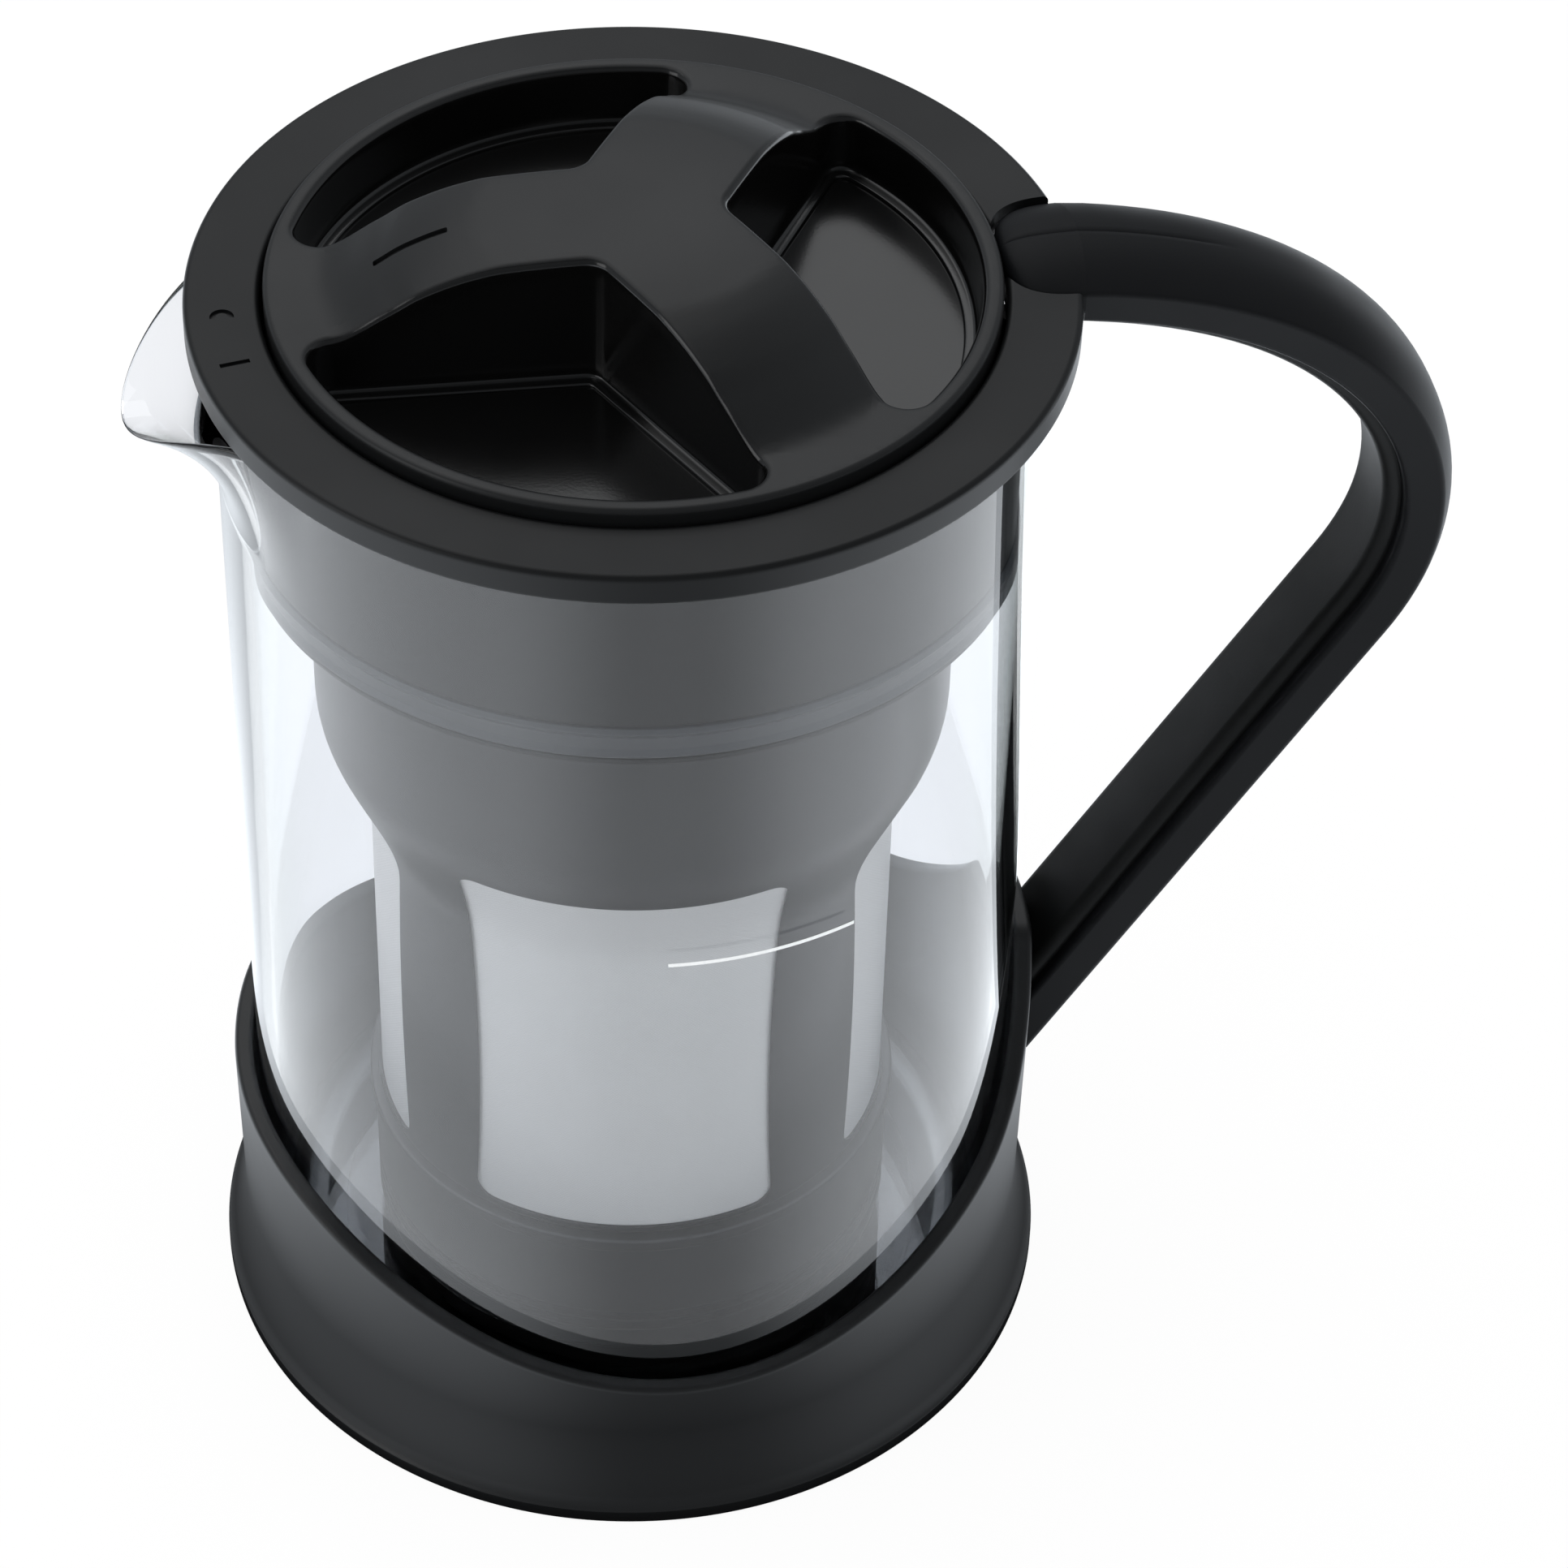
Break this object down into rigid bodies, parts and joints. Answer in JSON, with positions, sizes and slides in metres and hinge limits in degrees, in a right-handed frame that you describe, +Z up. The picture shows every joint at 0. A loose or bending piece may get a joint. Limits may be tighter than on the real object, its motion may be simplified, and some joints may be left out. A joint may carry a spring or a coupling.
{
  "type": "cold brew coffee maker",
  "caption": "Glass jug in a wavy plastic cup with a looped handle, a lid ring, a removable mesh filter core and a domed three-spoke twist cap.",
  "frame": {"origin": "middle of the cup's underside, on the jug's axis", "axes": "+Z up along the jug's axis, +X towards the handle, -X towards the spout"},
  "size_m": [0.1836, 0.1244, 0.1933],
  "materials": {
    "charcoal_plastic": "satin",
    "core_plastic": "satin",
    "cap_plastic": "satin on the dome, glossy in the pockets",
    "handle_plastic": "soft satin",
    "handle_grip": "matt",
    "black_silicone": "matt",
    "grey_silicone": "satin",
    "jug_glass": "clear, polished",
    "filter_mesh": "fine woven mesh",
    "screw_steel": "turned"
  },
  "bodies": {
    "jug": {"base_cup": "charcoal_plastic", "glass_cushion_ring": "black_silicone", "glass_carafe": "jug_glass", "handle_shell": "handle_plastic", "handle_insert": "handle_grip", "handle_screw_left": "screw_steel", "handle_screw_right": "screw_steel"},
    "lid": {"lid_collar": "charcoal_plastic", "collar_seal": "grey_silicone"},
    "core": {"filter_body": "core_plastic", "mesh_panel_1": "filter_mesh", "mesh_panel_2": "filter_mesh", "mesh_panel_3": "filter_mesh", "mesh_panel_4": "filter_mesh", "core_seal": "black_silicone", "bottom_cap_seal": "black_silicone"},
    "cap_carrier": {"cap_gasket": "black_silicone"},
    "cap": {"cap_shell": "cap_plastic", "cap_plug": "core_plastic"},
    "bottom_closure": {"bottom_cap": "core_plastic"}
  },
  "joints": [
    {"name": "lid_lift", "type": "slide", "parent": "jug", "child": "lid", "axis": [0, 0, 1], "range_m": [0, 0.18]},
    {"name": "core_lift", "type": "slide", "parent": "lid", "child": "core", "axis": [0, 0, 1], "range_m": [0, 0.175]},
    {"name": "cap_lift", "type": "slide", "parent": "core", "child": "cap_carrier", "axis": [0, 0, 1], "range_m": [0, 0.03]},
    {"name": "cap_twist", "type": "hinge", "parent": "cap_carrier", "child": "cap", "pos_m": [0, 0, 0.17], "axis": [0, 0, 1], "range_deg": [0, 10.5]},
    {"name": "bottom_cap_twist", "type": "hinge", "parent": "core", "child": "bottom_closure", "pos_m": [0, 0, 0.025], "axis": [0, 0, 1], "range_deg": [0, 60]}
  ]
}
